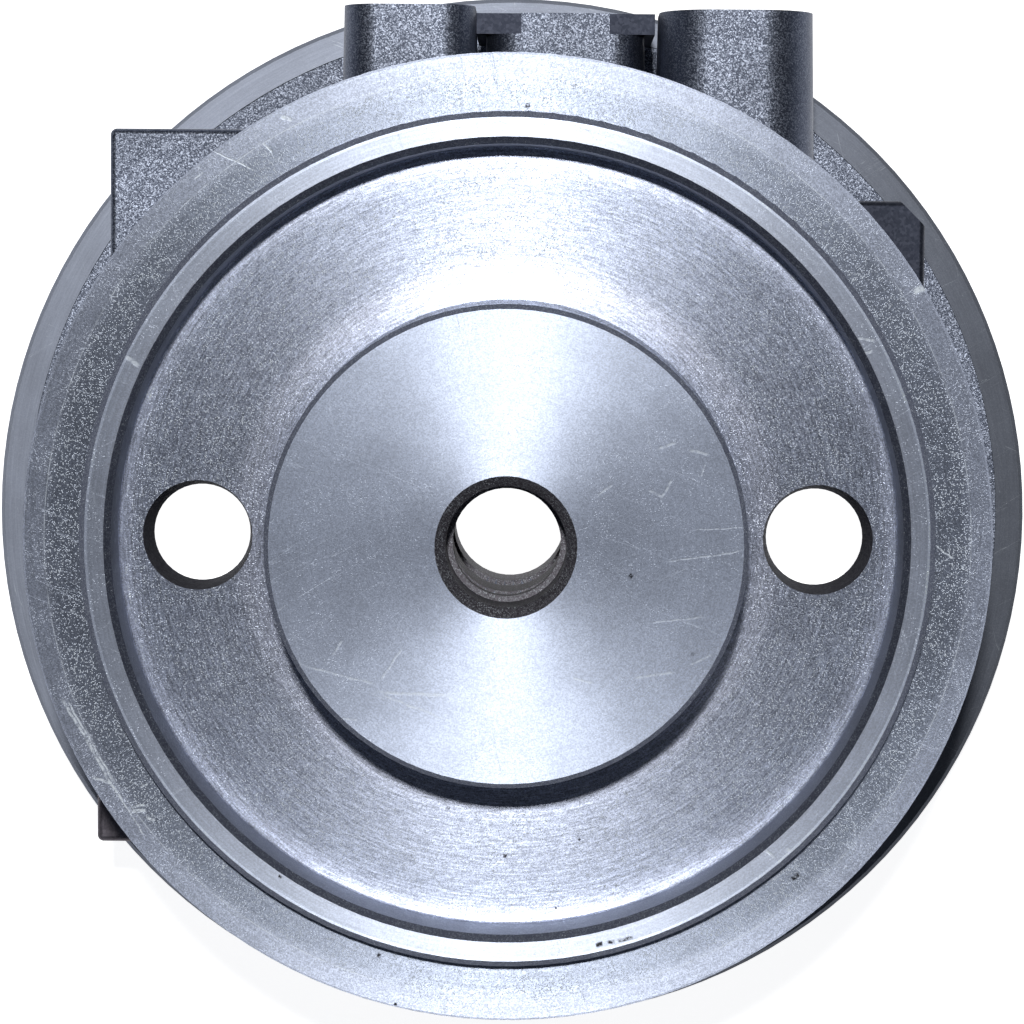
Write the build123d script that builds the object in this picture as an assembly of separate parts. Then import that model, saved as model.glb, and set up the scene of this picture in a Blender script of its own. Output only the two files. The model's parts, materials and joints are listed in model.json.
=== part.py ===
from build123d import *
import os
from math import radians, tan

# Cast-iron bearing housing of an exhaust turbocharger: one casting, machined all over at
# its joints. All sizes are in millimetres. The shaft's bore is the Z axis. The compressor
# end stands on z = 0 and the turbine end points up. The oil runs in at +Y and out at -Y.

# Compressor end
compressor_flange_r = 77.0
compressor_flange_thickness = 5.0
compressor_band_width = 4.1
band_step = 0.6
spigot_r = 73.4
spigot_height = 5.0
spigot_wall = 8.0
ring_groove_width = 2.6
ring_groove_depth = 1.7
web_thickness = 6.4
hub_r = 33.0
hub_setback = 1.0

# Middle body
barrel_r = 28.0
waist_height = 46.2
barrel_blend = 7.0

# Turbine end
turbine_flange_r = 65.0
clamp_overhang = 7.0
clamp_land = 3.0
clamp_angle = 20.0
turbine_wall = 6.7
flange_face_height = 5.6
pilot_ring_r = 57.0
pilot_ring_height = 3.9
pilot_ring_chamfer = 0.8
shield_seat_r = 52.75
shield_seat_chamfer = 0.9
shield_seat_corner = 0.4
nose_r = 31.6
nose_height = 19.2
nose_chamfer = 0.65

# Bores for the shaft, its bearings and its seals
seal_bore_r = 7.95
seal_mouth_chamfer = 1.35
seal_bore_depth = 10.0
seal_land_r = 7.2
seal_land_width = 2.8
bearing_bore_r = 7.9
bearing_bore_length = 10.3
bearing_gap = 9.0
bearing_gap_depth = 1.6
bearing_drain_width = 12.0
thrust_relief_r = 10.4
thrust_relief_depth = 13.0
seal_plate_r = 22.0
seal_plate_depth = 13.0
bore_chamfer = 0.6

# Cored oil chamber
carrier_r = 14.0
chamber_r = 22.5
chamber_floor = 8.0
chamber_corner = 3.0
chamber_neck = 3.5
feed_rib_width = 14.0

# Through holes beside the barrel
core_hole_x = 42.0
core_hole_front_r = 7.45
core_hole_back_r = 6.6
window_x = 47.2
window_front_r = 12.2
window_back_r = 13.0

# Bosses in a row on the top side
crown_face_y = 72.4
crown_shoulder_y = 60.0
crown_thickness = 16.0
crown_foot_y = 8.0
boss_draft = 1.0
left_boss_r = 9.15
left_boss_corner = 4.8
left_boss_x = -14.35
left_boss_z = 39.6
left_boss_rise = 0.5
right_boss_r = 10.75
right_boss_corner = 7.4
right_boss_x = 31.3
right_boss_z = 38.0
right_boss_foot_y = 25.0
inlet_pad_width = 25.2
inlet_pad_thickness = 2.9
inlet_pad_end = 6.4
inlet_pad_relief = 0.9
inlet_pad_x = 7.4
inlet_pad_front_z = 40.8
inlet_neck_r = 11.2
inlet_neck_corner = 4.8

# Threaded holes, bored to the thread's core
bracket_tap_r = 4.25
bracket_tap_depth = 18.0
port_tap_r = 6.25
port_tap_depth = 15.0
port_tap_chamfer = 1.2
side_tap_r = 3.4
side_tap_depth = 14.0
plate_tap_r = 2.5
plate_tap_depth = 12.0
plate_tap_circle_r = 28.0
plate_tap_count = 4
thrust_tap_r = 2.1
thrust_tap_depth = 5.0
thrust_tap_circle_r = 17.0
thrust_tap_count = 3

# Oil feed and drain
feed_main_r = 4.0
feed_main_depth = 32.0
feed_branch_r = 2.2
drain_face_y = -60.0
drain_pad_width = 34.0
drain_pad_thickness = 11.0
drain_pad_corner = 8.0
drain_neck_length = 43.0
drain_neck_width = 33.0
drain_throat_length = 32.0
drain_throat_width = 24.0
drain_throat_corner = 9.0
drain_z = 36.0
drain_tap_spacing = 52.0
drain_ear_r = 6.0
slot_length = 16.0
slot_width = 5.0

# Lugs for brackets at the sides
upper_lug_x = -56.8
upper_lug_top_y = 55.9
upper_lug_bottom_y = 24.0
upper_lug_front_z = 40.0
upper_lug_wall = 7.0
upper_lug_pad = 20.0
lower_lug_x = -59.4
lower_lug_top_y = -25.0
lower_lug_bottom_y = -46.6
lower_lug_front_z = 34.0
right_lug_x = 59.5
right_lug_top_y = 46.7
right_lug_bottom_y = 18.0
right_lug_front_z = 30.0
right_lug_chamfer = 3.6
lug_root_x = 18.0
lug_edge = 0.9
clamp_room_r = 69.0
clamp_room_height = 4.5
cast_edge = 1.5

# Small edges and allowances
edge_break = 0.6
fine_edge = 0.3
overrun = 1.0
drill_point = 59.0

# Heights along the bore that follow from the sizes above
band_z = spigot_height + compressor_flange_thickness
web_front_z = band_z - band_step
web_back_z = web_front_z - web_thickness
wall_back_z = band_z + waist_height
floor_z = wall_back_z + turbine_wall
flange_face_z = floor_z + flange_face_height
ring_top_z = flange_face_z + pilot_ring_height
nose_face_z = floor_z + nose_height
plate_floor_z = hub_setback + seal_plate_depth
journal_bottom_z = plate_floor_z + thrust_relief_depth
gap_bottom_z = journal_bottom_z + bearing_bore_length
gap_top_z = gap_bottom_z + bearing_gap
journal_top_z = gap_top_z + bearing_bore_length
seal_shoulder_z = nose_face_z - seal_bore_depth
chamber_top_z = seal_shoulder_z - seal_land_width
chamber_floor_z = plate_floor_z + chamber_floor


def turned(outline):
    """Solid turned about the bore axis from corners (radius, height, corner radius)."""
    corners = [(r, 0, z) for r, z, _ in outline]
    radii = [corner for _, _, corner in outline]
    return revolve(make_face(FilletPolyline(*corners, radius=radii, close=True)), Axis.Z)


def slab(shape, z_low, z_high):
    """A flat shape in X and Y, raised from one height to another."""
    return extrude(Pos(0, 0, z_low) * shape, z_high - z_low)


def rod(start, direction, r_start, r_end, length):
    """Round solid from a point along a direction, tapered if its two radii differ."""
    place = Plane(origin=start, z_dir=direction)
    low_end = (Align.CENTER, Align.CENTER, Align.MIN)
    if r_start == r_end:
        return place * Cylinder(r_start, length, align=low_end)
    return place * Cone(r_start, r_end, length, align=low_end)


def tapped_hole(mouth, inward, r, depth):
    """Blind hole with the drill's pointed end."""
    point = r / tan(radians(drill_point))
    hole = rod(mouth, inward, r, r, depth)
    bottom = Vector(*mouth) + Vector(*inward).normalized() * depth
    return hole + rod(bottom, inward, r, 0, point)


def turned_body():
    """Both flanges, the barrel between them, the pilot ring, the seat and the nose."""
    turbine_neck_r = turbine_flange_r - clamp_overhang
    land_z = flange_face_z - clamp_land
    taper_z = land_z - clamp_overhang * tan(radians(clamp_angle))
    band_inner_r = compressor_flange_r - compressor_band_width
    return turned([
        (0, hub_setback, 0),
        (hub_r, hub_setback, 0),
        (hub_r, web_back_z, 0),
        (spigot_r - spigot_wall, web_back_z, cast_edge),
        (spigot_r - spigot_wall, 0, 0),
        (spigot_r - edge_break, 0, 0),
        (spigot_r, edge_break, 0),
        (spigot_r, spigot_height, 0),
        (compressor_flange_r - edge_break, spigot_height, 0),
        (compressor_flange_r, spigot_height + edge_break, 0),
        (compressor_flange_r, band_z - edge_break, 0),
        (compressor_flange_r - edge_break, band_z, 0),
        (band_inner_r, band_z, 0),
        (band_inner_r, web_front_z, 0),
        (barrel_r, web_front_z, barrel_blend),
        (barrel_r, wall_back_z, barrel_blend),
        (turbine_neck_r, wall_back_z, 2 * cast_edge),
        (turbine_neck_r, taper_z, cast_edge),
        (turbine_flange_r, land_z, 0),
        (turbine_flange_r, flange_face_z - fine_edge, 0),
        (turbine_flange_r - fine_edge, flange_face_z, 0),
        (pilot_ring_r, flange_face_z, fine_edge),
        (pilot_ring_r, ring_top_z - pilot_ring_chamfer, 0),
        (pilot_ring_r - pilot_ring_chamfer, ring_top_z, 0),
        (shield_seat_r + shield_seat_chamfer, ring_top_z, 0),
        (shield_seat_r, ring_top_z - shield_seat_chamfer, 0),
        (shield_seat_r, floor_z, shield_seat_corner),
        (nose_r, floor_z, edge_break),
        (nose_r, nose_face_z - nose_chamfer, 0),
        (nose_r - nose_chamfer, nose_face_z, 0),
        (0, nose_face_z, 0),
    ])


def seal_ring_groove():
    """Groove round the compressor spigot for its sealing ring."""
    middle = spigot_height / 2
    low = middle - ring_groove_width / 2
    high = middle + ring_groove_width / 2
    bottom_r = spigot_r - ring_groove_depth
    outer_r = spigot_r + overrun
    return turned([(bottom_r, low, 0), (outer_r, low, 0), (outer_r, high, 0), (bottom_r, high, 0)])


def boss(x, z, r, corner, foot_y, top_y):
    """Cast boss of rounded square section with draft, from its machined top down to its foot."""
    top = Plane(origin=(x, top_y, z), x_dir=(1, 0, 0), z_dir=(0, -1, 0))
    return extrude(top * RectangleRounded(2 * r, 2 * r, corner), top_y - foot_y, taper=-boss_draft)


def crown():
    """Cast web that carries the row of bosses on the barrel."""
    left = left_boss_x - left_boss_r
    right = right_boss_x + right_boss_r / 2
    outline = FilletPolyline(
        (left, crown_shoulder_y),
        (right, crown_shoulder_y),
        (right, crown_shoulder_y / 2 + crown_foot_y),
        (barrel_r - cast_edge, crown_foot_y),
        (cast_edge - barrel_r, crown_foot_y),
        (left, crown_shoulder_y / 2),
        radius=4 * cast_edge,
        close=True,
    )
    middle = left_boss_z
    return slab(make_face(outline), middle - crown_thickness / 2, middle + crown_thickness / 2)


def inlet_pad():
    """Square oil inlet pad on its neck, flush with it but for two relieved ends."""
    half = inlet_pad_width / 2
    low_y = crown_face_y - inlet_pad_thickness
    middle_y = crown_face_y - inlet_pad_thickness / 2
    plate = Box(inlet_pad_width, inlet_pad_thickness, inlet_pad_width)
    plate = Pos(inlet_pad_x, middle_y, inlet_pad_front_z - half) * plate
    plate = fillet(plate.edges().filter_by(Axis.Y), edge_break)
    for side in (-1, 1):
        end_x = inlet_pad_x + side * (half - inlet_pad_end / 2)
        relief = Box(inlet_pad_end + overrun, inlet_pad_thickness + overrun, 2 * inlet_pad_relief)
        plate -= Pos(end_x + side * overrun / 2, middle_y, inlet_pad_front_z) * relief
    neck_z = inlet_pad_front_z - inlet_neck_r
    return plate + boss(inlet_pad_x, neck_z, inlet_neck_r, inlet_neck_corner, crown_foot_y, low_y)


def lug(x_outer, x_root, y_low, y_high, z_high):
    """Cast block that stands on the compressor flange's web, beside the barrel."""
    width = abs(x_outer - x_root)
    z_low = web_front_z - overrun
    shape = Box(width, y_high - y_low, z_high - z_low)
    shape = Pos((x_outer + x_root) / 2, (y_low + y_high) / 2, (z_low + z_high) / 2) * shape
    outer = shape.faces().sort_by(Axis.X)[-1 if x_outer > 0 else 0]
    front = shape.faces().sort_by(Axis.Z)[-1]
    edges = outer.edges().filter_by(Axis.Z) + front.edges()
    return fillet(edges, lug_edge)


def upper_lug():
    """Lug at the upper left, cored out from below to an even wall."""
    shape = lug(upper_lug_x, -lug_root_x, upper_lug_bottom_y, upper_lug_top_y, upper_lug_front_z)
    x_low = upper_lug_x + upper_lug_pad
    x_high = -lug_root_x - upper_lug_wall
    z_low = web_front_z + upper_lug_wall
    z_high = upper_lug_front_z - upper_lug_wall
    mouth = Plane(
        origin=((x_low + x_high) / 2, upper_lug_bottom_y - overrun, (z_low + z_high) / 2),
        x_dir=(1, 0, 0),
        z_dir=(0, 1, 0),
    )
    core = extrude(
        mouth * RectangleRounded(x_high - x_low, z_high - z_low, 2 * cast_edge),
        upper_lug_top_y - upper_lug_wall - upper_lug_bottom_y + overrun,
    )
    return shape - core


def right_lug():
    """Lug at the right, with its outer top corner cut off."""
    shape = lug(right_lug_x, lug_root_x, right_lug_bottom_y, right_lug_top_y, right_lug_front_z)
    cutter = Rot(0, 0, 45) * Box(2 * right_lug_chamfer, 2 * right_lug_chamfer, 4 * right_lug_front_z)
    reach = right_lug_chamfer * (0.5 ** 0.5 - 0.5)
    return shape - Pos(right_lug_x + reach, right_lug_top_y + reach, 0) * cutter


def clamp_room():
    """Ring of free space over the compressor flange's rim, for its clamp."""
    outer_r = 2 * compressor_flange_r
    z_high = band_z + clamp_room_height
    return turned([
        (clamp_room_r, 0, 0),
        (outer_r, 0, 0),
        (outer_r, z_high, 0),
        (clamp_room_r, z_high, 2 * cast_edge),
    ])


def drain():
    """Neck under the barrel and the flanged pad for the oil drain pipe."""
    face = Plane(origin=(0, drain_face_y, drain_z), x_dir=(1, 0, 0), z_dir=(0, 1, 0))
    pad_length = drain_tap_spacing + 2 * drain_ear_r
    pad = extrude(
        face * RectangleRounded(pad_length, drain_pad_width, drain_pad_corner),
        drain_pad_thickness,
    )
    neck = extrude(
        face * RectangleRounded(drain_neck_length, drain_neck_width, drain_pad_corner),
        -drain_face_y - crown_foot_y,
    )
    return pad + neck


def oil_chamber():
    """Cored space round the bearing carrier, less the rib that feeds the bearings."""
    space = turned([
        (carrier_r, chamber_floor_z, chamber_corner),
        (chamber_r, chamber_floor_z, chamber_corner),
        (chamber_r, chamber_top_z - chamber_neck, chamber_corner),
        (chamber_r - chamber_neck, chamber_top_z, chamber_corner),
        (0, chamber_top_z, 0),
        (0, journal_top_z, 0),
        (carrier_r, journal_top_z, edge_break),
    ])
    rib_height = journal_top_z - chamber_floor_z
    rib = Box(feed_rib_width, 2 * chamber_r, rib_height, align=(Align.CENTER, Align.MIN, Align.MIN))
    return space - Pos(0, 0, chamber_floor_z) * rib


def drain_throat():
    """Cored way from the oil chamber down to the drain face."""
    face = Plane(origin=(0, drain_face_y - overrun, drain_z), x_dir=(1, 0, 0), z_dir=(0, 1, 0))
    depth = overrun - drain_face_y - carrier_r - edge_break
    return extrude(
        face * RectangleRounded(drain_throat_length, drain_throat_width, drain_throat_corner),
        depth,
    )


def shaft_bores():
    """Everything bored on the shaft's axis, from the compressor end to the nose."""
    mouth_r = seal_plate_r + bore_chamfer
    nose_mouth_r = seal_bore_r + seal_mouth_chamfer
    gap_r = bearing_bore_r + bearing_gap_depth
    stack = [
        (0, -overrun),
        (mouth_r, -overrun),
        (mouth_r, hub_setback),
        (seal_plate_r, hub_setback + bore_chamfer),
        (seal_plate_r, plate_floor_z),
        (thrust_relief_r, plate_floor_z),
        (thrust_relief_r, journal_bottom_z),
        (bearing_bore_r, journal_bottom_z),
        (bearing_bore_r, gap_bottom_z),
        (gap_r, gap_bottom_z),
        (gap_r, gap_top_z),
        (bearing_bore_r, gap_top_z),
        (bearing_bore_r, journal_top_z + overrun),
        (seal_land_r, journal_top_z + overrun),
        (seal_land_r, seal_shoulder_z),
        (seal_bore_r, seal_shoulder_z),
        (seal_bore_r, nose_face_z - seal_mouth_chamfer),
        (nose_mouth_r, nose_face_z),
        (nose_mouth_r, nose_face_z + overrun),
        (0, nose_face_z + overrun),
    ]
    return turned([(r, z, 0) for r, z in stack])


def bearing_drain():
    """Slot that lets the oil fall out between the two bearing bores."""
    return Pos(0, 0, gap_bottom_z) * Box(
        bearing_drain_width,
        carrier_r + overrun,
        bearing_gap,
        align=(Align.CENTER, Align.MAX, Align.MIN),
    )


def thrust_drain():
    """Slot from the thrust bearing's recess to the bottom of the oil chamber."""
    y = -(carrier_r + chamber_r) / 2
    return slab(Pos(0, y) * SlotOverall(slot_length, slot_width), plate_floor_z - overrun,
                chamber_floor_z + chamber_corner)


def side_openings():
    """Cored holes in the turbine wall and the larger windows behind them."""
    cuts = []
    for side in (-1, 1):
        x = side * core_hole_x
        cuts.append(rod((x, 0, wall_back_z), (0, 0, 1), core_hole_back_r, core_hole_front_r, turbine_wall))
        window_z = web_back_z - overrun
        height = web_front_z + overrun - window_z
        cuts.append(rod((side * window_x, 0, window_z), (0, 0, 1), window_back_r, window_front_r, height))
    return cuts


def oil_feed():
    """Threaded inlet, its main drilling and a branch to each bearing bore."""
    inlet_z = inlet_pad_front_z - inlet_neck_r
    mouth = (inlet_pad_x, crown_face_y, inlet_z)
    down = (0, -1, 0)
    split = Vector(inlet_pad_x, crown_face_y - feed_main_depth, inlet_z)
    cuts = port(mouth)
    cuts.append(rod(mouth, down, feed_main_r, feed_main_r, feed_main_depth))
    for journal_z in (journal_bottom_z, gap_top_z):
        target = Vector(0, bearing_bore_r - fine_edge, journal_z + bearing_bore_length / 2)
        way = target - split
        cuts.append(rod(split, way.normalized(), feed_branch_r, feed_branch_r, way.length))
    return cuts


def port(mouth):
    """Threaded port with a chamfered mouth, opening upwards."""
    down = (0, -1, 0)
    mouth_r = port_tap_r + port_tap_chamfer
    return [
        tapped_hole(mouth, down, port_tap_r, port_tap_depth),
        rod(mouth, down, mouth_r, port_tap_r, port_tap_chamfer),
    ]


def side_taps():
    """Threaded holes in the outer faces of the side lugs."""
    upper_y = (upper_lug_top_y + upper_lug_bottom_y) / 2
    lower_y = (lower_lug_top_y + lower_lug_bottom_y) / 2
    right_y = (right_lug_top_y + right_lug_bottom_y) / 2
    upper_z = (web_front_z + upper_lug_front_z) / 2
    lower_z = (web_front_z + lower_lug_front_z) / 2
    right_z = (web_front_z + right_lug_front_z) / 2
    return [
        tapped_hole((upper_lug_x, upper_y, upper_z), (1, 0, 0), side_tap_r, side_tap_depth),
        tapped_hole((lower_lug_x, lower_y, lower_z), (1, 0, 0), side_tap_r, side_tap_depth),
        tapped_hole((right_lug_x, right_y, right_z), (-1, 0, 0), side_tap_r, side_tap_depth),
    ]


def drain_taps():
    """Threaded holes through the ears of the drain pad."""
    cuts = []
    for side in (-1, 1):
        start = (side * drain_tap_spacing / 2, drain_face_y - overrun, drain_z)
        length = drain_pad_thickness + 2 * overrun
        cuts.append(rod(start, (0, 1, 0), side_tap_r, side_tap_r, length))
    return cuts


def compressor_taps():
    """Threaded holes for the seal plate, in the hub, and for the thrust bearing, in its recess."""
    cuts = []
    for place in PolarLocations(plate_tap_circle_r, plate_tap_count, 45):
        x, y, _ = place.position
        cuts.append(tapped_hole((x, y, hub_setback), (0, 0, 1), plate_tap_r, plate_tap_depth))
    for place in PolarLocations(thrust_tap_circle_r, thrust_tap_count, 90):
        x, y, _ = place.position
        cuts.append(tapped_hole((x, y, plate_floor_z), (0, 0, 1), thrust_tap_r, thrust_tap_depth))
    return cuts


def bearing_housing():
    """The whole casting with everything that is machined into it."""
    left_top_y = crown_face_y + left_boss_rise
    lower_lug = lug(lower_lug_x, -lug_root_x, lower_lug_bottom_y, lower_lug_top_y, lower_lug_front_z)
    lugs = upper_lug() + lower_lug + right_lug() - clamp_room()
    casting = turned_body() + crown() + drain() + lugs + inlet_pad()
    casting += boss(
        left_boss_x, left_boss_z, left_boss_r, left_boss_corner, crown_foot_y, left_top_y
    )
    casting += boss(
        right_boss_x, right_boss_z, right_boss_r, right_boss_corner, right_boss_foot_y, crown_face_y
    )

    cuts = [oil_chamber(), drain_throat(), shaft_bores(), bearing_drain(), thrust_drain()]
    cuts += [seal_ring_groove()] + side_openings() + oil_feed() + side_taps() + drain_taps()
    cuts += compressor_taps()
    left_top = (left_boss_x, left_top_y, left_boss_z)
    cuts.append(tapped_hole(left_top, (0, -1, 0), bracket_tap_r, bracket_tap_depth))
    cuts += port((right_boss_x, crown_face_y, right_boss_z))
    for cut in cuts:
        casting -= cut
    return casting.solid()


os.makedirs("parts", exist_ok=True)
export_step(bearing_housing(), "parts/bearing_housing.step")
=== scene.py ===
import json
import math

import bmesh
import bpy
from mathutils import Matrix, Vector


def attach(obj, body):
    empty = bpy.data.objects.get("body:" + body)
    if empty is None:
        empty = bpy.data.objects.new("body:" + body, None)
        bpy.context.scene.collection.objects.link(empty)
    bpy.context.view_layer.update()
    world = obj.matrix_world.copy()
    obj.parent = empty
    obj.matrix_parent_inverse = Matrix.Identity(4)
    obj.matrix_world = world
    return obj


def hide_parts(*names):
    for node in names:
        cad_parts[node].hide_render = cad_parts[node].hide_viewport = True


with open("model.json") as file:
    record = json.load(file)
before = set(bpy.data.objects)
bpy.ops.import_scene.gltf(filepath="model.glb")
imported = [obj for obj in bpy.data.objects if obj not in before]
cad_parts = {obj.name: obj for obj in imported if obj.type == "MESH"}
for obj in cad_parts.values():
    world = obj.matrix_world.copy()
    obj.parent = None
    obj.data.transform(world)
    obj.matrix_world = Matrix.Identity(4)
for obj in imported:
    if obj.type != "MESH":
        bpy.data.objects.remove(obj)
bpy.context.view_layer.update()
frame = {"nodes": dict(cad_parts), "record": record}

# The view: the housing stands on its compressor end, and the camera looks straight down on the
# turbine end from half a metre above, a few degrees off the shaft's line.
camera = bpy.data.objects.new("camera", bpy.data.cameras.new("camera"))
camera.data.lens = 122.13
camera.data.sensor_width = 36.0
camera.data.clip_start = 0.01
turn = Matrix.Rotation(math.radians(-0.426), 3, "Z")
turn = turn @ Matrix.Rotation(math.radians(3.516), 3, "X")
turn = turn @ Matrix.Rotation(math.radians(-0.534), 3, "Y")
camera.matrix_world = Matrix.Translation((0.00496, 0.0323, 0.53235)) @ turn.inverted().to_4x4()
bpy.context.scene.collection.objects.link(camera)
bpy.context.scene.camera = camera
bpy.context.scene.view_settings.view_transform = "Standard"

# The bench: a wide white table. Seen directly or in the metal it is plain white, and round the
# foot of the housing it keeps a faint soft shadow.


def add_node(tree, kind, inputs=None, **settings):
    """One node with its settings. Each input is a number, a colour or another node's output."""
    made = tree.nodes.new(kind)
    for name, value in settings.items():
        setattr(made, name, value)
    for name, value in (inputs or {}).items():
        if isinstance(value, bpy.types.NodeSocket):
            tree.links.new(value, made.inputs[name])
        else:
            made.inputs[name].default_value = value
    return made


def calc(tree, operation, *values, clamp=False):
    """The output of one Math node."""
    made = tree.nodes.new("ShaderNodeMath")
    made.operation = operation
    made.use_clamp = clamp
    for place, value in enumerate(values):
        if isinstance(value, bpy.types.NodeSocket):
            tree.links.new(value, made.inputs[place])
        else:
            made.inputs[place].default_value = value
    return made.outputs[0]


def ramp(tree, value, low, high, low_out=0.0, high_out=1.0):
    """A value brought smoothly from one range to another."""
    made = add_node(tree, "ShaderNodeMapRange", interpolation_type="SMOOTHSTEP")
    tree.links.new(value, made.inputs["Value"])
    ends = {"From Min": low, "From Max": high, "To Min": low_out, "To Max": high_out}
    for name, number in ends.items():
        made.inputs[name].default_value = number
    return made.outputs["Result"]


def blend_colours(tree, share, first, second, blend="MIX"):
    """Two colours mixed by a share."""
    made = add_node(tree, "ShaderNodeMix", data_type="RGBA", blend_type=blend)
    for place, value in ((0, share), (6, first), (7, second)):
        if isinstance(value, bpy.types.NodeSocket):
            tree.links.new(value, made.inputs[place])
        else:
            made.inputs[place].default_value = value
    return made.outputs[2]


def colour_scaled(tree, colour, amount):
    """A colour made brighter or darker by a number or by a value."""
    scaled = add_node(tree, "ShaderNodeVectorMath", {0: colour, "Scale": amount}, operation="SCALE")
    return scaled.outputs[0]


def vector(tree, operation, first, second=None, output="Vector"):
    """The output of one Vector Math node."""
    inputs = {0: first} if second is None else {0: first, 1: second}
    made = add_node(tree, "ShaderNodeVectorMath", inputs, operation=operation)
    return made.outputs[output]


def new_tree(material):
    """An empty node tree for a material."""
    material.use_nodes = True
    material.node_tree.nodes.clear()
    return material.node_tree


def seen_as_background(tree):
    """Masks for rays straight from the camera, and for those that metal or glass sends back."""
    seen = add_node(tree, "ShaderNodeLightPath")
    mirrored = calc(tree, "ADD", seen.outputs["Is Glossy Ray"], seen.outputs["Is Transmission Ray"])
    return seen.outputs["Is Camera Ray"], mirrored


bench_mesh = bpy.data.meshes.new("bench")
bench_half = 3.0
bench_corners = [(-bench_half, -bench_half, 0), (bench_half, -bench_half, 0)]
bench_corners += [(bench_half, bench_half, 0), (-bench_half, bench_half, 0)]
bench_mesh.from_pydata(bench_corners, [], [(0, 1, 2, 3)])
bench = bpy.data.objects.new("bench", bench_mesh)
bpy.context.scene.collection.objects.link(bench)
bench_paint = bpy.data.materials.new("bench_white")
tree = new_tree(bench_paint)
place = add_node(tree, "ShaderNodeTexCoord").outputs["Object"]
flat = vector(tree, "MULTIPLY", place, (1, 1, 0))
reach = vector(tree, "LENGTH", flat, output="Value")
foot_inner, foot_outer = 0.066, 0.072
# painted light: the bench glows brighter under the housing, filling the shade seen through its
# holes
painted_light_under_part, bright_round_part = 1.05, 0.89
under_part = ramp(tree, reach, foot_inner, foot_outer, painted_light_under_part, bright_round_part)
direct, mirrored = seen_as_background(tree)
glow = calc(tree, "MULTIPLY", calc(tree, "ADD", direct, mirrored, clamp=True), under_part)
paint = add_node(
    tree,
    "ShaderNodeBsdfPrincipled",
    {
        "Base Color": (0.82, 0.82, 0.82, 1),
        "Roughness": 0.8,
        "Emission Color": (1, 1, 1, 1),
        "Emission Strength": glow,
    },
)
add_node(tree, "ShaderNodeOutputMaterial", {"Surface": paint.outputs[0]})
bench_mesh.materials.append(bench_paint)

# The light: a room with white walls up to the height of the bench and a dim ceiling, one soft
# lamp three quarters of a metre above, and a weak one low at the right.
room = bpy.data.worlds.new("room")
bpy.context.scene.world = room
room.use_nodes = True
tree = room.node_tree
tree.nodes.clear()
way = add_node(tree, "ShaderNodeTexCoord").outputs["Generated"]
height = add_node(tree, "ShaderNodeSeparateXYZ", {0: way}).outputs[2]
ceiling = 0.06
wall_foot, wall_top = 0.03, 0.16
low_wall = ramp(tree, height, wall_foot, wall_top, 1.0, 0.0)
direct, mirrored = seen_as_background(tree)
white = calc(tree, "MAXIMUM", direct, calc(tree, "MULTIPLY", mirrored, low_wall))
level = calc(tree, "MULTIPLY_ADD", white, 1.0 - ceiling, ceiling)
ceiling_colour, wall_colour = (0.80, 0.92, 1.20, 1), (1, 1, 1, 1)
colour = blend_colours(tree, white, ceiling_colour, wall_colour)
sky = add_node(tree, "ShaderNodeBackground", {"Color": colour, "Strength": level})
add_node(tree, "ShaderNodeOutputWorld", {"Surface": sky.outputs[0]})


def soft_lamp(name, place, size, power):
    """A square soft lamp that faces the housing."""
    lamp = bpy.data.objects.new(name, bpy.data.lights.new(name, "AREA"))
    lamp.data.shape = "SQUARE"
    lamp.data.size = size
    lamp.data.energy = power
    lamp.location = place
    lamp.rotation_euler = Vector(place).to_track_quat("Z", "Y").to_euler()
    lamp.visible_camera = False
    bpy.context.scene.collection.objects.link(lamp)


soft_lamp("overhead_lamp", (-0.008, 0.162, 0.722), size=0.033, power=2.95)
soft_lamp("side_lamp", (0.150, -0.095, 0.300), size=0.06, power=0.014)

# The casting: one piece of grey iron, poured in sand round cores and shot-blasted, then turned at
# both flanges, the ring, the recess and the nose, milled at its pads, drilled and tapped.
mm = 0.001
sketch = frame["nodes"]["bearing_housing"]
casting = bpy.data.objects.new("machined_casting", sketch.data.copy())
bpy.context.scene.collection.objects.link(casting)
casting.data.materials.clear()
casting.data.attributes.remove(casting.data.attributes["custom_normal"])


def effect_group(name, inputs, outputs):
    """A named effect shared by several finishes, with its inputs and outputs."""
    group = bpy.data.node_groups.new(name, "ShaderNodeTree")
    for label, value in inputs.items():
        socket = group.interface.new_socket(label, in_out="INPUT", socket_type="NodeSocketFloat")
        socket.default_value = value
    for label in outputs:
        group.interface.new_socket(label, in_out="OUTPUT", socket_type="NodeSocketFloat")
    return group, group.nodes.new("NodeGroupInput"), group.nodes.new("NodeGroupOutput")


def place_in_mm(tree):
    """The point on the housing in millimetres, and its distance from the shaft's line."""
    here = add_node(tree, "ShaderNodeTexCoord").outputs["Object"]
    here = colour_scaled(tree, here, 1 / mm)
    flat = vector(tree, "MULTIPLY", here, (1, 1, 0))
    return here, vector(tree, "LENGTH", flat, output="Value")


def noise(tree, at, scale, detail=2.0, roughness=0.5, dimensions="3D", distortion=0.0):
    """The output of one Noise node, by point or by distance."""
    made = add_node(tree, "ShaderNodeTexNoise", noise_dimensions=dimensions)
    tree.links.new(at, made.inputs["W" if dimensions == "1D" else "Vector"])
    made.inputs["Scale"].default_value = scale
    made.inputs["Detail"].default_value = detail
    made.inputs["Roughness"].default_value = roughness
    made.inputs["Distortion"].default_value = distortion
    return made.outputs[0]


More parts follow.
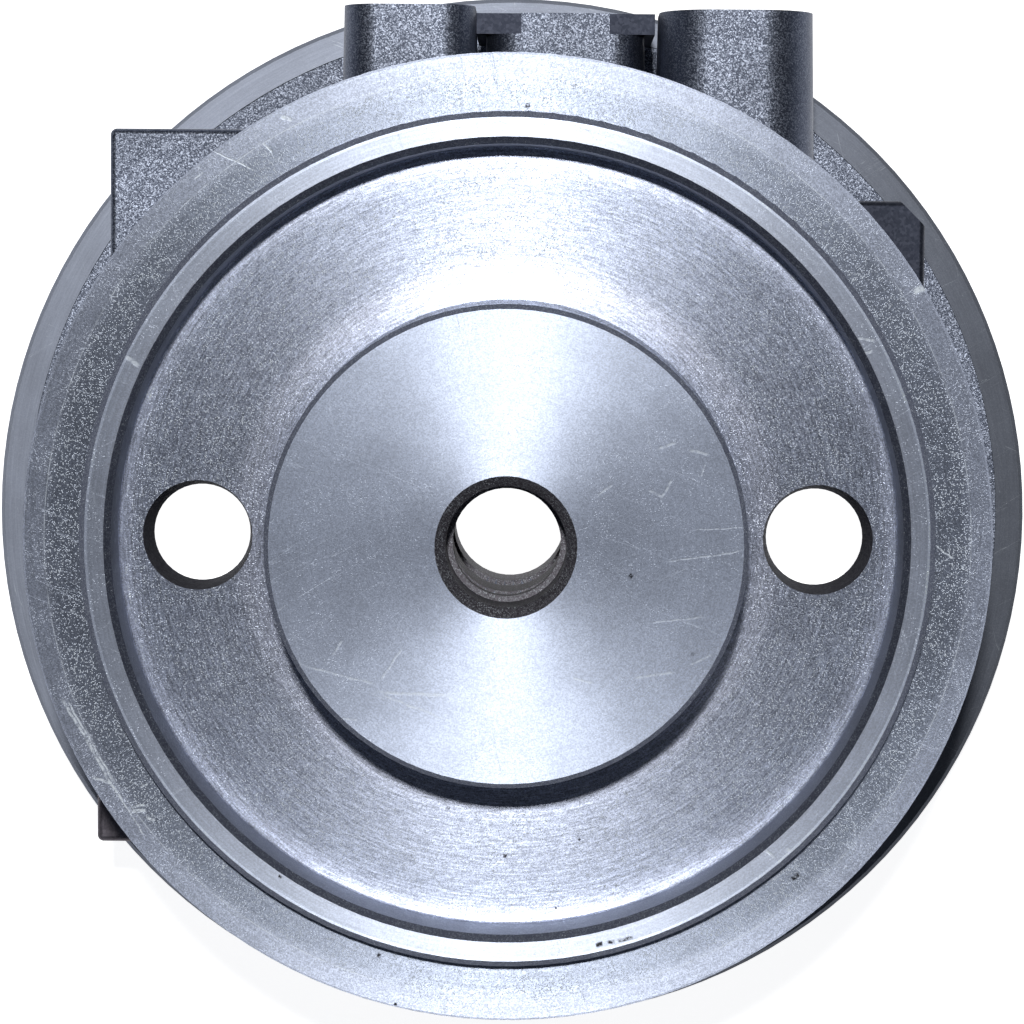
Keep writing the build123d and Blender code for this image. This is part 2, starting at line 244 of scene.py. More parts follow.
# turning marks: fine rings that the tool left round the shaft's line, broken into long arcs
turning, given, out = effect_group(
    "turning_marks", {"Rings per mm": 3.0}, ["Rings", "Arcs", "Streaks"]
)
here, radius = place_in_mm(turning)
feed = calc(turning, "MULTIPLY", radius, given.outputs["Rings per mm"])
heading = vector(turning, "NORMALIZE", vector(turning, "MULTIPLY", here, (1, 1, 0)))
turning.links.new(noise(turning, feed, 1.3, 2.0, 0.7, "1D"), out.inputs["Rings"])
for name, turns, across in (("Arcs", 5.0, 1.8), ("Streaks", 26.0, 2.8)):
    outwards = calc(turning, "MULTIPLY", feed, across)
    along = add_node(turning, "ShaderNodeCombineXYZ", {2: outwards}).outputs[0]
    around = colour_scaled(turning, heading, turns)
    sweep = vector(turning, "ADD", around, along)
    turning.links.new(noise(turning, sweep, 0.9, 3.0, 0.62), out.inputs[name])

# grain: the crystals of the iron, each with its own tone, soft lumps and a few loose bright ones
grain_sizes = {"Grain mm": 0.3, "Bright share": 0.1, "Glint": 0.0}
grains, given, out = effect_group("iron_grain", grain_sizes, ["Tone", "Lumps", "Bright"])
here, radius = place_in_mm(grains)
scaled = add_node(grains, "ShaderNodeVectorMath", {0: here}, operation="SCALE")
grains.links.new(calc(grains, "DIVIDE", 1.0, given.outputs["Grain mm"]), scaled.inputs["Scale"])
cells = {"Vector": scaled.outputs[0], "Scale": 1.0}
cells = add_node(grains, "ShaderNodeTexVoronoi", cells, feature="F1")
tones = add_node(grains, "ShaderNodeSeparateColor", {0: cells.outputs["Color"]})
grains.links.new(tones.outputs[0], out.inputs["Tone"])
grains.links.new(noise(grains, scaled.outputs[0], 0.55, 3.0, 0.65), out.inputs["Lumps"])
rare = calc(grains, "LESS_THAN", tones.outputs[1], given.outputs["Bright share"])
round_grain = ramp(grains, cells.outputs["Distance"], 0.25, 0.65, 1.0, 0.0)
patches = ramp(grains, noise(grains, here, 0.22, 2.0), 0.35, 0.65, 0.35, 1.0)
rarity, brightest = 3.0, 0.55
glint = calc(grains, "POWER", tones.outputs[2], rarity)
glint = calc(grains, "MULTIPLY", calc(grains, "MULTIPLY", glint, brightest), given.outputs["Glint"])
bright = calc(grains, "MULTIPLY", calc(grains, "MULTIPLY", rare, round_grain), patches)
grains.links.new(calc(grains, "MAXIMUM", bright, glint), out.inputs["Bright"])

# handling: faint long scratches in a few directions, in patches, and dark pin-sized pits
handling, given, out = effect_group("handling_marks", {"Amount": 0.5}, ["Scratch", "Pit"])
here, radius = place_in_mm(handling)
marks = None
long_and_thin, line_half_width = (0.09, 1.9, 1.0), 0.006
for angle, patch_scale, seed in ((0.4, 0.4, 3.0), (1.35, 0.56, 9.0), (2.6, 0.36, 15.0)):
    tilted = add_node(
        handling, "ShaderNodeVectorRotate", {"Vector": here, "Angle": angle}, rotation_type="Z_AXIS"
    )
    stretched = vector(handling, "MULTIPLY", tilted.outputs[0], long_and_thin)
    moved = vector(handling, "ADD", stretched, (seed, seed, 0))
    bent = noise(handling, moved, 0.6, 2.0, 0.5, distortion=0.3)
    off_line = calc(handling, "ABSOLUTE", calc(handling, "SUBTRACT", bent, 0.5))
    line = ramp(handling, off_line, 0.0, line_half_width, 1.0, 0.0)
    patch = ramp(handling, noise(handling, moved, patch_scale, 2.0), 0.56, 0.68)
    line = calc(handling, "MULTIPLY", line, patch)
    marks = line if marks is None else calc(handling, "MAXIMUM", marks, line)
dots = add_node(handling, "ShaderNodeTexVoronoi", {"Vector": here, "Scale": 0.16}, feature="F1")
dot_size = add_node(handling, "ShaderNodeSeparateColor", {0: dots.outputs["Color"]}).outputs[1]
largest_pit = 0.04
dot_size = ramp(handling, dot_size, 0.75, 1.0, 0.0, largest_pit)
pit = calc(handling, "LESS_THAN", dots.outputs["Distance"], dot_size)
seen_marks = calc(handling, "MULTIPLY", marks, given.outputs["Amount"])
handling.links.new(seen_marks, out.inputs["Scratch"])
handling.links.new(pit, out.inputs["Pit"])

# one scratch: a bright wavy line where a tool or another part has rubbed the turned face
scratch_sizes = {"Middle X": 0.0, "Middle Y": 0.0, "Heading": 0.0}
scratch_sizes |= {"Half length": 2.0, "Half width": 0.1}
scratch, given, out = effect_group("single_scratch", scratch_sizes, ["Mark"])
here, radius = place_in_mm(scratch)
middle = add_node(
    scratch, "ShaderNodeCombineXYZ", {0: given.outputs["Middle X"], 1: given.outputs["Middle Y"]}
)
moved = vector(scratch, "SUBTRACT", here, middle.outputs[0])
turned_back = calc(scratch, "MULTIPLY", given.outputs["Heading"], -1.0)
level = {"Vector": moved, "Angle": turned_back}
level = add_node(scratch, "ShaderNodeVectorRotate", level, rotation_type="Z_AXIS")
axes = add_node(scratch, "ShaderNodeSeparateXYZ", {0: level.outputs[0]})
sway = 0.5
wander = calc(scratch, "MULTIPLY_ADD", noise(scratch, here, 0.5, 1.0), sway, -sway / 2)
aside = calc(scratch, "ABSOLUTE", calc(scratch, "ADD", axes.outputs[1], wander))
aside = calc(scratch, "DIVIDE", aside, given.outputs["Half width"])
ahead = calc(scratch, "ABSOLUTE", axes.outputs[0])
ahead = calc(scratch, "DIVIDE", ahead, given.outputs["Half length"])
across_line = ramp(scratch, aside, 0.4, 1.3, 1.0, 0.0)
line = calc(scratch, "MULTIPLY", across_line, ramp(scratch, ahead, 0.6, 1.0, 1.0, 0.0))
broken = ramp(scratch, noise(scratch, here, 2.2, 2.0), 0.36, 0.56, 0.35, 1.0)
scratch.links.new(calc(scratch, "MULTIPLY", line, broken), out.inputs["Mark"])


def grey(tree, value):
    """A value as a neutral colour."""
    return add_node(tree, "ShaderNodeCombineColor", {0: value, 1: value, 2: value}).outputs[0]


def effect(tree, group, **values):
    """A shared effect placed in a finish, with its own values."""
    made = add_node(tree, "ShaderNodeGroup", node_tree=group)
    for name, value in values.items():
        made.inputs[name.replace("_", " ")].default_value = value
    return made


def scratched(tree, strokes):
    """Where single scratches run, each from one point to another in millimetres."""
    marks = None
    for x_start, y_start, x_end, y_end, width in strokes:
        run, rise = x_end - x_start, y_end - y_start
        made = effect(
            tree,
            scratch,
            Middle_X=(x_start + x_end) / 2,
            Middle_Y=(y_start + y_end) / 2,
            Heading=math.atan2(rise, run),
            Half_length=math.hypot(run, rise) / 1.6,
            Half_width=width * 0.75,
        ).outputs["Mark"]
        marks = made if marks is None else calc(tree, "MAXIMUM", marks, made)
    return marks


def bands(tree, radius, stops):
    """Tint and share of bright grains from ring to ring: radius, brightness, warmth, grains."""
    low, high = stops[0][0], stops[-1][0]
    share = calc(tree, "DIVIDE", calc(tree, "SUBTRACT", radius, low), high - low, clamp=True)
    made = add_node(tree, "ShaderNodeValToRGB", {0: share})
    points = made.color_ramp.elements
    points.remove(points[1])
    for number, (at, brightness, warmth, grain_share) in enumerate(stops):
        point = points[0] if number == 0 else points.new((at - low) / (high - low))
        point.position = (at - low) / (high - low)
        half = brightness / 2
        point.color = (half * (1 + warmth), half, half * (1 - warmth), grain_share)
    return colour_scaled(tree, made.outputs["Color"], 2.0), made.outputs["Alpha"]


turned_defaults = {"strokes": (), "flaws": (), "worn": 0.3, "grooves": 0.003, "scribed": None}
turned_defaults |= {"glint": 0.5, "painted_side_light": (0.0, 0.0), "streaks": 0.05, "scratches": 0.75}


def turned_finish(name, colour, roughness, spread, stops, rings_per_mm, **marked):
    """Iron turned on a lathe: it reflects in a fan, because its grooves run round the shaft.

    The marked values say how strongly each kind of mark shows on it.
    """
    marked = turned_defaults | marked
    finish = bpy.data.materials.new(name)
    tree = new_tree(finish)
    here, radius = place_in_mm(tree)
    marks = effect(tree, turning, Rings_per_mm=rings_per_mm)
    grain = effect(
        tree, grains, Grain_mm=0.15, Bright_share=marked["bright_grains"], Glint=marked["glint"]
    )
    use = effect(tree, handling, Amount=marked["worn"])
    zone, grain_share = bands(tree, radius, stops)
    shade = None
    for source, low, high, depth in (
        (marks.outputs["Rings"], 0.25, 0.75, marked["rings"]),
        (marks.outputs["Arcs"], 0.3, 0.7, marked["arcs"]),
        (grain.outputs["Tone"], 0.0, 1.0, marked["tones"]),
        (noise(tree, here, 0.11, 3.0), 0.3, 0.7, 0.06),
        (marks.outputs["Streaks"], 0.3, 0.7, marked["streaks"]),
    ):
        part = ramp(tree, source, low, high, 1.0 - depth, 1.0 + depth)
        shade = part if shade is None else calc(tree, "MULTIPLY", shade, part)
    # painted side light: one side is made brighter than the other, as light from that side would
    # make it
    lit_side_heading, lit_side_amount = marked["painted_side_light"]
    heading, amount = math.radians(lit_side_heading), lit_side_amount / 75.0
    lit_side_way = (amount * math.cos(heading), amount * math.sin(heading), 0.0)
    side_light_factor = vector(tree, "DOT_PRODUCT", here, lit_side_way, output="Value")
    shade = calc(tree, "MULTIPLY", shade, calc(tree, "ADD", side_light_factor, 1.0))
    tint = blend_colours(tree, 1.0, (*colour, 1), zone, "MULTIPLY")
    tint = blend_colours(tree, 1.0, tint, grey(tree, shade), "MULTIPLY")
    sparks = calc(tree, "MULTIPLY", grain.outputs["Bright"], grain_share)
    scratches = use.outputs["Scratch"]
    if marked["strokes"]:
        scratches = calc(tree, "MAXIMUM", scratches, scratched(tree, marked["strokes"]))
    if marked["scribed"] is not None:
        off = calc(tree, "ABSOLUTE", calc(tree, "SUBTRACT", radius, marked["scribed"]))
        line = ramp(tree, off, 0.03, 0.09, 1.0, 0.0)
        kept = ramp(tree, noise(tree, here, 0.35, 3.0), 0.35, 0.6, 0.15, 0.65)
        scratches = calc(tree, "MAXIMUM", scratches, calc(tree, "MULTIPLY", line, kept))
    scratches = calc(tree, "MULTIPLY", scratches, marked["scratches"])
    # grains and scratches are torn places, which scatter the light to all sides
    torn = calc(tree, "MAXIMUM", sparks, scratches)
    smooth = calc(tree, "SUBTRACT", 1.0, torn)
    torn_iron, pit_colour = (0.87, 0.94, 1.0, 1), (0.03, 0.03, 0.035, 1)
    tint = blend_colours(tree, torn, tint, torn_iron)
    dark_spots = use.outputs["Pit"]
    if marked["flaws"]:
        dark_spots = calc(tree, "MAXIMUM", dark_spots, scratched(tree, marked["flaws"]))
    tint = blend_colours(tree, dark_spots, tint, pit_colour)
    grain_stands, scratch_lies = 0.018, -0.008
    height = calc(tree, "MULTIPLY", marks.outputs["Rings"], marked["grooves"])
    height = calc(tree, "MULTIPLY_ADD", sparks, grain_stands, height)
    height = calc(tree, "MULTIPLY_ADD", scratches, scratch_lies, height)
    bump = add_node(tree, "ShaderNodeBump", {"Strength": 1.0, "Distance": mm, "Height": height})
    around = add_node(tree, "ShaderNodeTangent", direction_type="RADIAL", axis="Z")
    if isinstance(roughness, tuple):
        roughness = ramp(tree, radius, *roughness)
    metal = add_node(
        tree,
        "ShaderNodeBsdfPrincipled",
        {
            "Base Color": tint,
            "Metallic": smooth,
            "Anisotropic": spread,
            "Anisotropic Rotation": 0.25,
            "Normal": bump.outputs[0],
            "Tangent": around.outputs[0],
            "Roughness": roughness,
        },
    )
    add_node(tree, "ShaderNodeOutputMaterial", {"Surface": metal.outputs[0]})
    return finish


def plain_finish(name, dark, pale, metallic, roughness, grain_mm, sharpness, relief,
                 edge_painted_shade=0.0, side_painted_shade=0.0, crown_painted_shade=0.0, bright_grains=0.0):
    """Iron as cast, drilled or milled. Its steep faces and faces seen edge-on are painted darker,
    as painted shade.
    """
    finish = bpy.data.materials.new(name)
    tree = new_tree(finish)
    grain = effect(tree, grains, Grain_mm=grain_mm, Bright_share=bright_grains)
    here, radius = place_in_mm(tree)
    cloudy = ramp(tree, noise(tree, here, 0.09, 3.0), 0.3, 0.7, 0.85, 1.12)
    glint = calc(tree, "POWER", grain.outputs["Tone"], sharpness)
    glint = calc(tree, "MAXIMUM", glint, grain.outputs["Bright"])
    tint = blend_colours(tree, glint, (*dark, 1), (*pale, 1))
    # painted shade: faces seen edge-on and steep faces are darkened towards a dark navy
    edge_on = add_node(tree, "ShaderNodeLayerWeight", {"Blend": 0.5}).outputs["Facing"]
    unshaded_share = ramp(tree, edge_on, 0.2, 0.85, 1.0, 1.0 - edge_painted_shade)
    facing = add_node(tree, "ShaderNodeNewGeometry").outputs["Normal"]
    facing = add_node(tree, "ShaderNodeSeparateXYZ", {0: facing}).outputs[2]
    facing = calc(tree, "ABSOLUTE", facing)
    unshaded_share = calc(tree, "MULTIPLY", unshaded_share, ramp(tree, facing, 0.78, 0.99, 1.0 - side_painted_shade, 1.0))
    # painted shade: the skin is made darker towards the crown of the bosses, from y 49 to 56 mm
    upward = add_node(tree, "ShaderNodeSeparateXYZ", {0: here}).outputs[1]
    crown_foot, crown_top = 49.0, 56.0
    crown_shade = ramp(tree, upward, crown_foot, crown_top, 1.0, 1.0 - crown_painted_shade)
    cloudy = calc(tree, "MULTIPLY", cloudy, crown_shade)
    tint = blend_colours(tree, 1.0, tint, grey(tree, cloudy), "MULTIPLY")
    # the colour of the painted shade
    painted_shade_colour = (0.058, 0.072, 0.115, 1)
    tint = blend_colours(tree, unshaded_share, painted_shade_colour, tint)
    height = calc(tree, "MULTIPLY", grain.outputs["Lumps"], relief)
    height = calc(tree, "MULTIPLY_ADD", grain.outputs["Tone"], relief * 0.15, height)
    bump = add_node(tree, "ShaderNodeBump", {"Strength": 1.0, "Distance": mm, "Height": height})
    iron = add_node(
        tree,
        "ShaderNodeBsdfPrincipled",
        {
            "Base Color": tint,
            "Metallic": metallic,
            "Roughness": roughness,
            "Specular IOR Level": 0.3,
            "Normal": bump.outputs[0],
        },
    )
    add_node(tree, "ShaderNodeOutputMaterial", {"Surface": iron.outputs[0]})
    return finish


def even(radius):
    """The same tint and grain all over a face."""
    return ((0.0, 1.0, 0.0, 0.6), (radius, 1.0, 0.0, 0.6))


# scratches and flaws: start and end in millimetres from the shaft's line, and width
nose_strokes = (
    (19.7, 13.0, 21.9, 13.8, 0.25), (23.8, 12.8, 26.2, 12.3, 0.3),
    (18.5, 7.6, 20.2, 6.7, 0.25), (20.2, 6.7, 21.5, 9.0, 0.25), (11.8, 6.9, 13.7, 8.2, 0.2),
    (25.3, 9.5, 25.7, 11.0, 0.15), (21.4, -1.6, 30.6, -0.2, 0.15),
    (24.2, 2.5, 30.8, 2.9, 0.12), (19.2, -9.6, 25.7, -8.9, 0.15),
    (17.1, -16.9, 21.9, -16.1, 0.2), (24.0, -15.1, 26.8, -13.8, 0.15),
    (8.9, -17.0, 11.3, -17.5, 0.2), (-13.6, -13.5, -16.1, -17.2, 0.2),
    (-26.3, -15.6, -17.4, -17.9, 0.2), (-16.3, -19.0, -6.6, -19.5, 0.3),
    (-15.6, -19.5, -7.9, -22.5, 0.2), (-22.4, -14.2, -21.3, -12.4, 0.2),
    (-21.1, -22.6, -19.3, -22.7, 0.2),
)
flange_strokes = (
    (-59.5, -22.2, -56.4, -27.2, 0.3), (-56.4, -27.2, -53.5, -32.5, 0.3),
    (-53.5, -32.5, -51.5, -35.6, 0.25), (-58.9, -22.2, -55.7, -27.6, 0.2),
    (-55.7, -27.6, -52.8, -32.8, 0.2), (-55.5, -32.4, -52.8, -33.2, 0.3),
    (-50.3, -36.9, -48.4, -36.9, 0.35), (-50.1, -36.4, -48.5, -36.1, 0.25),
    (-48.3, -37.8, -47.2, -38.1, 0.3), (-49.1, -33.7, -48.1, -33.2, 0.2),
    (-51.5, -35.6, -48.7, -40.0, 0.15), (-39.3, 51.6, -34.2, 49.2, 0.12),
    (-41.9, 47.9, -40.9, 48.8, 0.14), (-32.8, 52.6, -31.6, 51.6, 0.2),
    (-30.4, 56.2, -29.0, 55.9, 0.35), (53.9, 33.6, 55.6, 34.1, 0.7),
    (57.5, -0.3, 59.7, -1.9, 0.2),
)
ring_strokes = (
    (-50.6, 24.3, -48.9, 23.1, 0.4), (46.3, 27.4, 48.3, 27.1, 0.25),
    (47.0, 25.5, 48.2, 25.7, 0.25), (35.0, -40.9, 36.0, -41.9, 0.3),
    (37.5, -40.7, 38.8, -41.2, 0.3),
)
nose_flaws = (
    (16.1, -3.4, 16.5, -3.7, 0.45), (24.2, -13.6, 24.6, -13.8, 0.35),
)
floor_flaws = (
    (-8.1, -36.9, -7.6, -37.1, 0.4), (-0.3, -43.5, 0.2, -43.6, 0.4),
    (10.0, -41.0, 10.3, -41.2, 0.25),
)
flange_flaws = (
    (2.0, 57.9, 2.6, 57.8, 0.5), (-17.1, -56.2, -16.6, -56.4, 0.45),
    (38.6, -45.3, 39.5, -44.6, 0.5),
)
ring_flaws = (
    (12.3, -53.8, 13.2, -53.6, 0.5), (13.8, -53.5, 14.8, -53.3, 0.35),
    (15.3, -53.2, 17.2, -52.8, 0.3), (-30.2, -45.0, -29.8, -45.2, 0.3),
)
# zones from the tool's changes, in the recess with painted light as well: radius, brightness,
# warmth and share of bright grains
nose_bands = (
    (9.0, 1.0, 0.0, 0.3), (31.6, 1.0, 0.0, 0.3),
)
# painted light: the recess is brighter by its outer wall, against the shade the wall throws; by the
# nose's foot it is both a brighter turned band and painted light
recess_bands_and_painted_light = (
    (31.6, 1.50, 0.0, 0.5), (34.4, 1.72, 0.03, 0.6), (36.4, 1.48, 0.03, 0.8),
    (37.6, 1.15, 0.01, 0.8), (39.0, 1.02, 0.0, 1.0), (41.0, 1.02, 0.0, 1.0),
    (48.5, 0.96, -0.01, 1.0), (50.2, 1.15, 0.0, 0.8), (51.2, 1.5, 0.01, 0.6),
    (52.0, 2.0, 0.01, 0.4), (52.8, 1.4, 0.01, 0.2),
)
ring_bands = (
    (52.7, 1.08, 0.01, 0.3), (55.8, 1.03, 0.0, 0.4), (55.9, 1.4, 0.0, 0.5),
    (57.1, 1.3, 0.0, 0.3),
)
flange_bands = (
    (57.0, 0.63, -0.04, 0.9), (60.6, 0.63, -0.04, 1.0), (61.6, 0.74, -0.03, 0.8),
    (62.3, 0.92, -0.02, 0.4), (65.0, 0.95, -0.02, 0.35),
)
# the sides that the painted side light brightens, as headings in degrees
lower_right, upper_left = -38.0, 165.0
all_radii = even(80.0)
turned = {
    "turned_flange": dict(
        colour=(0.53, 0.567, 0.675), roughness=(61.2, 62.3, 0.475, 0.53), spread=0.944,
        stops=flange_bands, rings_per_mm=2.4, rings=0.03, arcs=0.07, tones=0.22,
        bright_grains=0.26, strokes=flange_strokes, flaws=flange_flaws, worn=0.5, scribed=62.05,
        glint=0.10, painted_side_light=(lower_right, 0.16), scratches=0.8,
    ),
    "turned_ring": dict(
        colour=(0.52, 0.567, 0.675), roughness=0.53, spread=0.944, stops=ring_bands,
        rings_per_mm=2.4, rings=0.03, arcs=0.06, tones=0.10, bright_grains=0.08,
        strokes=ring_strokes, flaws=ring_flaws, worn=0.5, glint=0.2, painted_side_light=(lower_right, 0.06),
        scratches=0.6,
    ),
    "turned_recess": dict(
        colour=(0.285, 0.313, 0.395), roughness=0.445, spread=0.87, stops=recess_bands_and_painted_light,
        rings_per_mm=2.0, rings=0.10, arcs=0.10, tones=0.27, bright_grains=0.15,
        flaws=floor_flaws, worn=0.05, grooves=0.006, glint=0.35, streaks=0.28,
    ),
    "turned_nose": dict(
        colour=(0.56, 0.616, 0.745), roughness=0.565, spread=0.924, stops=nose_bands,
        rings_per_mm=4.0, rings=0.02, arcs=0.03, tones=0.14, bright_grains=0.10,
        strokes=nose_strokes, flaws=nose_flaws, worn=0.6, glint=0.2, scratches=0.45,
    ),
    # painted shade: the recess wall gets a dark colour for the shade it lies in
    "turned_wall_painted_shade": dict(
        colour=(0.185, 0.203, 0.262), roughness=0.45, spread=0.7, stops=all_radii,
        rings_per_mm=2.5, rings=0.06, arcs=0.06, tones=0.08, bright_grains=0.03, worn=0.1,
    ),
    # painted shade: the nose's wall and foot get a darker colour still, for the nose's shadow there
    "nose_wall_painted_shade": dict(
        colour=(0.088, 0.108, 0.158), roughness=0.45, spread=0.7, stops=all_radii,
        rings_per_mm=2.5, rings=0.06, arcs=0.06, tones=0.08, bright_grains=0.03, worn=0.1,
        glint=0.2,
    ),
    # painted shade: the chamfers are turned iron given a dark colour for the dark they reflect
    "turned_edge_painted_shade": dict(
        colour=(0.135, 0.149, 0.20), roughness=0.45, spread=0.6, stops=all_radii,
        rings_per_mm=2.5, rings=0.04, arcs=0.05, tones=0.06, bright_grains=0.03, worn=0.05,
    ),
    # painted shade: these turned faces get a darker colour than the other turned faces, for the
    # shade they lie in
    "turned_rim_painted_shade": dict(
        colour=(0.20, 0.217, 0.26), roughness=0.55, spread=0.6, stops=all_radii,
        rings_per_mm=2.5, rings=0.03, arcs=0.05, tones=0.04, bright_grains=0.0, worn=0.3,
        glint=0.1, painted_side_light=(upper_left, 0.45),
    ),
    # painted shade: the bore is given a near-black colour for the shade inside it
    "reamed_bore_painted_shade": dict(
        colour=(0.10, 0.092, 0.105), roughness=0.6, spread=0.3, stops=all_radii,
        rings_per_mm=3.0, rings=0.10, arcs=0.10, tones=0.2, bright_grains=0.2, worn=0.05,
    ),
}
plain = {
    "shot_blasted_skin": dict(
        dark=(0.052, 0.060, 0.083), pale=(0.41, 0.45, 0.545), metallic=0.85, roughness=0.44,
        grain_mm=0.16, sharpness=2.8, relief=0.05, bright_grains=0.14,
        edge_painted_shade=0.42, side_painted_shade=0.6, crown_painted_shade=0.2,
    ),
    # painted shade: a dark, smooth skin
    "painted_shade_skin": dict(
        dark=(0.028, 0.032, 0.046), pale=(0.05, 0.055, 0.075), metallic=0.9, roughness=0.55,
        grain_mm=0.4, sharpness=1.5, relief=0.01,
    ),
    # painted light: a flat skin, lighter than the shade would leave it
    "lower_lug_painted_light": dict(
        dark=(0.13, 0.118, 0.135), pale=(0.19, 0.175, 0.20), metallic=0.9, roughness=0.6,
        grain_mm=0.4, sharpness=1.5, relief=0.01,
    ),
    "milled_pad": dict(
        dark=(0.42, 0.45, 0.53), pale=(0.60, 0.64, 0.74), metallic=1.0, roughness=0.42,
        grain_mm=0.3, sharpness=1.0, relief=0.01,
    ),
    "cored_hole": dict(
        dark=(0.07, 0.07, 0.085), pale=(0.13, 0.13, 0.15), metallic=0.0, roughness=0.7,
        grain_mm=0.3, sharpness=2.0, relief=0.02,
    ),
    "cut_thread": dict(
        dark=(0.22, 0.235, 0.28), pale=(0.30, 0.32, 0.38), metallic=1.0, roughness=0.4,
        grain_mm=0.3, sharpness=1.0, relief=0.005,
    ),
}
finishes = {name: turned_finish(name, **values) for name, values in turned.items()}
finishes |= {name: plain_finish(name, **values) for name, values in plain.items()}
names = list(finishes)
for name in names:
    casting.data.materials.append(finishes[name])


def within(face, low, high):
    """Whether all corners of a face lie in a box given in millimetres."""
    return all(low[i] <= corner.co[i] / mm <= high[i] for corner in face.verts for i in range(3))


# heights along the shaft and distances from it in millimetres, each a little beside the face
nose_face, nose_chamfer, ring_foot, flange_foot = 81.9, 81.0, 71.0, 67.0
floor_top, floor_corner, wall_foot, turbine_wall = 64.0, 66.0, 62.0, 57.0
nose_rim, nose_hollow, recess_rim, ring_rim, flange_rim = 31.7, 31.0, 52.8, 57.5, 66.0


def turbine_end_finish(x, y, z, normal):
    """Which finish a face of the turned turbine end has, or none if it isn't turned."""
    r = math.hypot(x, y)
    up = normal.z > 0.9
    if z > nose_chamfer and r > 30.0 and not up:
        return "turned_edge_painted_shade"
    if up:
        if r < nose_rim and z > 70.0:
            return "turned_nose"
        if z < floor_top:
            return "turned_recess"
        return "turned_ring" if z > ring_foot else "turned_flange"
    if z < floor_corner and nose_hollow < r < recess_rim and normal.z > 0.03:
        return "turned_recess"
    if z > ring_foot and r > 50.0:
        return "turned_edge_painted_shade"
    if z > wall_foot and r < ring_rim:
        return "nose_wall_painted_shade" if r < 40.0 else "turned_wall_painted_shade"
    if z > flange_foot and normal.z > 0.3:
        return "turned_flange"
    return "turned_rim_painted_shade" if r > ring_rim else None


def finish_at(face):
    """Which finish a face of the casting has, by where it lies and which way it looks."""
    normal = face.normal
    x, y, z = face.calc_center_median() / mm
    outermost = max((corner.co / mm for corner in face.verts), key=lambda point: abs(point.x))
    r = math.hypot(x, y)
    in_bore = r < 11.0 and z > 20.0
    if in_bore:
        return "turned_nose" if normal.z > 0.9 and z > nose_face else "reamed_bore_painted_shade"
    in_core_hole = z > 56.0 and math.hypot(abs(x) - 42.0, y) < 7.6 and abs(normal.z) < 0.5
    if in_core_hole:
        return "cored_hole"
    if z > turbine_wall and r < flange_rim:
        turned_as = turbine_end_finish(x, y, z, normal)
        if turned_as:
            return turned_as
    on_clamp_band = r > 72.7 and z < 10.5
    on_spigot = z < 3.5 and r > 60.0
    if on_clamp_band or on_spigot:
        return "turned_rim_painted_shade"
    if abs(normal.y) > 0.97 and (y > 72.2 or y < -59.8):
        return "milled_pad"
    in_seal_recess = z < 22.0 and r < 36.0 and normal.z < -0.9
    if in_seal_recess:
        return "turned_rim_painted_shade"
    # painted shade: the right lug is given a dark skin
    if outermost.x > 50.0 and within(face, (20.0, 16.0, 11.5), (62.0, 48.0, 32.0)):
        return "painted_shade_skin"
    # painted light: the lower-left lug gets a flat skin that lifts it out of its shade
    if outermost.x < -50.0 and within(face, (-62.0, -48.0, 11.0), (-20.0, -22.0, 34.5)):
        return "lower_lug_painted_light"
    # painted shade: the pad's ends beside the inlet neck are given the same dark skin
    beside_pad = y > 69.3 and 38.0 < z < 41.5 and 6.3 < abs(x - 7.4) < 12.9
    return "painted_shade_skin" if beside_pad else "shot_blasted_skin"


# the small corner at the nose's foot, which the tool's tip leaves, is drawn as an even face
shape = bmesh.new()
shape.from_mesh(casting.data)
bmesh.ops.remove_doubles(shape, verts=shape.verts, dist=0.0000005)
foot_r, foot_z, foot_size = 31.6, 62.9, 0.6
for corner in shape.verts:
    x, y, z = corner.co / mm
    r = math.hypot(x, y)
    if foot_z < z < foot_z + foot_size and foot_r < r < foot_r + foot_size:
        shift = (foot_r + foot_z + foot_size - r - z) / 2
        corner.co = Vector((x * (r + shift) / r, y * (r + shift) / r, z + shift)) * mm
shape.normal_update()
for face in shape.faces:
    face.material_index = names.index(finish_at(face))
    face.smooth = True


# threads: each hole's plain wall is taken out and put back as the screw thread that the tap
# cuts, which runs out smoothly at both ends
thread_depth, crest_fill = 0.54, 1.15
columns, steps_per_turn = 40, 8


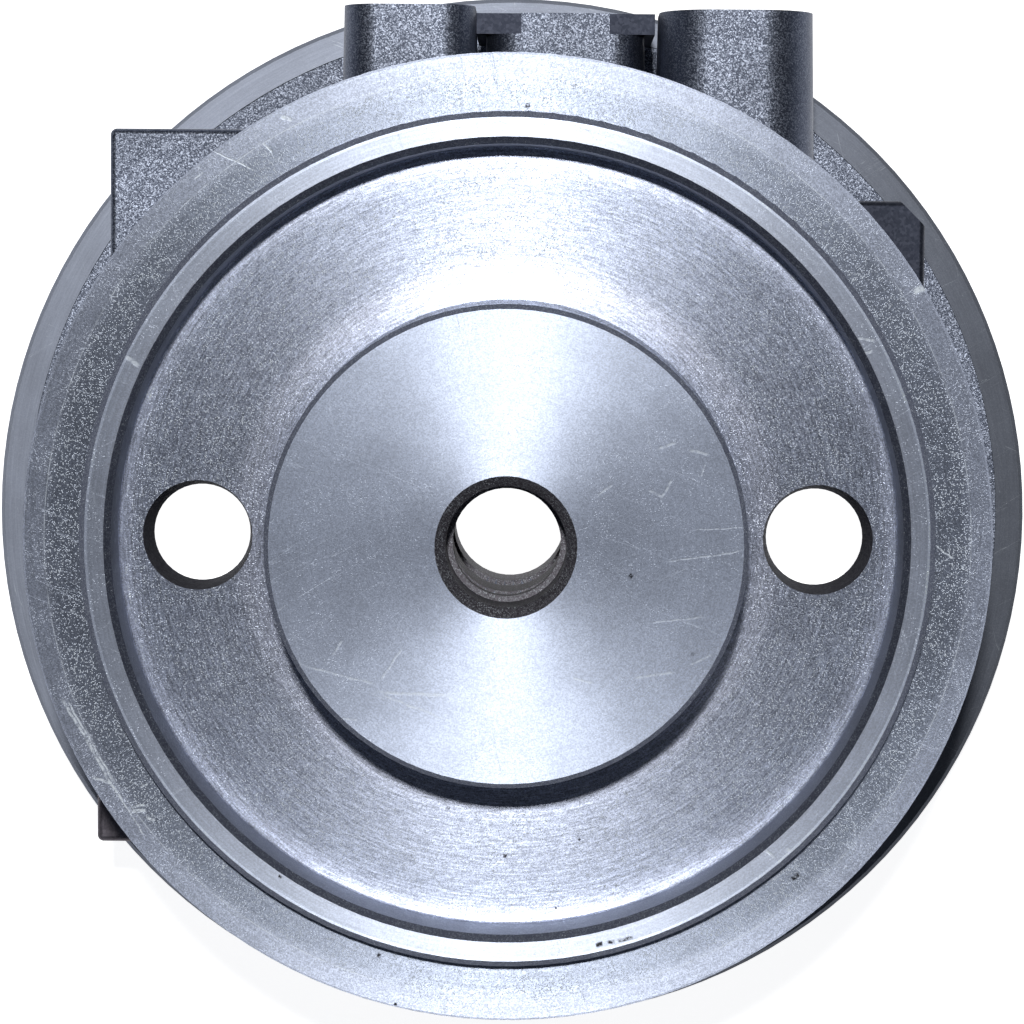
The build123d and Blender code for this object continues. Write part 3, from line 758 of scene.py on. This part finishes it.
def tap(mouth, outward, core_radius, length, pitch):
    """One tapped hole, from its mouth inwards; all lengths in millimetres."""
    outward = Vector(outward)
    mouth = Vector(mouth)
    on_wall = set()
    for corner in shape.verts:
        away = corner.co / mm - mouth
        depth = -away.dot(outward)
        off_wall = abs((away + outward * depth).length - core_radius)
        if -0.05 < depth < length + 0.05 and off_wall < 0.03:
            on_wall.add(corner)
    wall = {face for corner in on_wall for face in corner.link_faces}
    wall = [face for face in wall if on_wall.issuperset(face.verts)]
    wall = [face for face in wall if abs(face.normal.dot(outward)) < 0.3]
    bmesh.ops.delete(shape, geom=wall, context="FACES")
    side = outward.orthogonal().normalized()
    other = outward.cross(side)
    rows = math.ceil(length / pitch * steps_per_turn)
    grid = []
    for row in range(rows + 1):
        depth = length * row / rows
        run_out = min(1.0, depth / pitch, (length - depth) / pitch)
        ring = []
        for column in range(columns):
            turn = column / columns
            along_flank = abs((depth / pitch - turn) % 1.0 - 0.5) * 2
            cut = max(0.0, min(1.0, crest_fill * (1 - along_flank)))
            radius = core_radius + thread_depth * pitch * run_out * cut
            angle = 2 * math.pi * turn
            around = side * math.cos(angle) + other * math.sin(angle)
            ring.append(shape.verts.new((mouth - outward * depth + around * radius) * mm))
        grid.append(ring)
    for upper, lower in zip(grid, grid[1:]):
        for column in range(columns):
            beside = (column + 1) % columns
            face = shape.faces.new((upper[column], upper[beside], lower[beside], lower[column]))
            face.material_index = names.index("cut_thread")
            face.smooth = True


pitch_by_core = {6.25: 1.5, 4.25: 1.5, 3.4: 1.25}
for mount in frame["record"]["mounts"]:
    if mount["kind"] == "threaded_hole":
        core_radius, length = mount["dims"]["r_mm"], mount["dims"]["length_mm"]
        outward = Vector(mount["axis"])
        mouth = Vector(mount["pos_m"]) / mm + outward * length / 2
        tap(mouth, outward, core_radius, length, pitch_by_core[core_radius])
drain_bolt_x, drain_face_y, drain_z = 26.0, -60.0, 36.0
for side in (-1, 1):
    mouth = (drain_bolt_x * side, drain_face_y, drain_z)
    tap(mouth, (0, -1, 0), core_radius=3.4, length=11.0, pitch=1.25)
for count, first, circle_r, mouth_z, core_radius, length, pitch in (
    (4, 45, 28.0, 1.0, 2.5, 12.0, 1.0),
    (3, 90, 17.0, 14.0, 2.1, 5.0, 0.8),
):
    for number in range(count):
        turn = math.radians(first + 360 / count * number)
        mouth = (circle_r * math.cos(turn), circle_r * math.sin(turn), mouth_z)
        tap(mouth, (0, 0, -1), core_radius, length, pitch)
shape.to_mesh(casting.data)
shape.free()
sharpest_soft_corner = math.radians(28)
casting.data.set_sharp_from_angle(angle=sharpest_soft_corner)
even_shade = casting.modifiers.new("even_shade", "WEIGHTED_NORMAL")
even_shade.keep_sharp = True
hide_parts("bearing_housing")
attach(casting, "root")
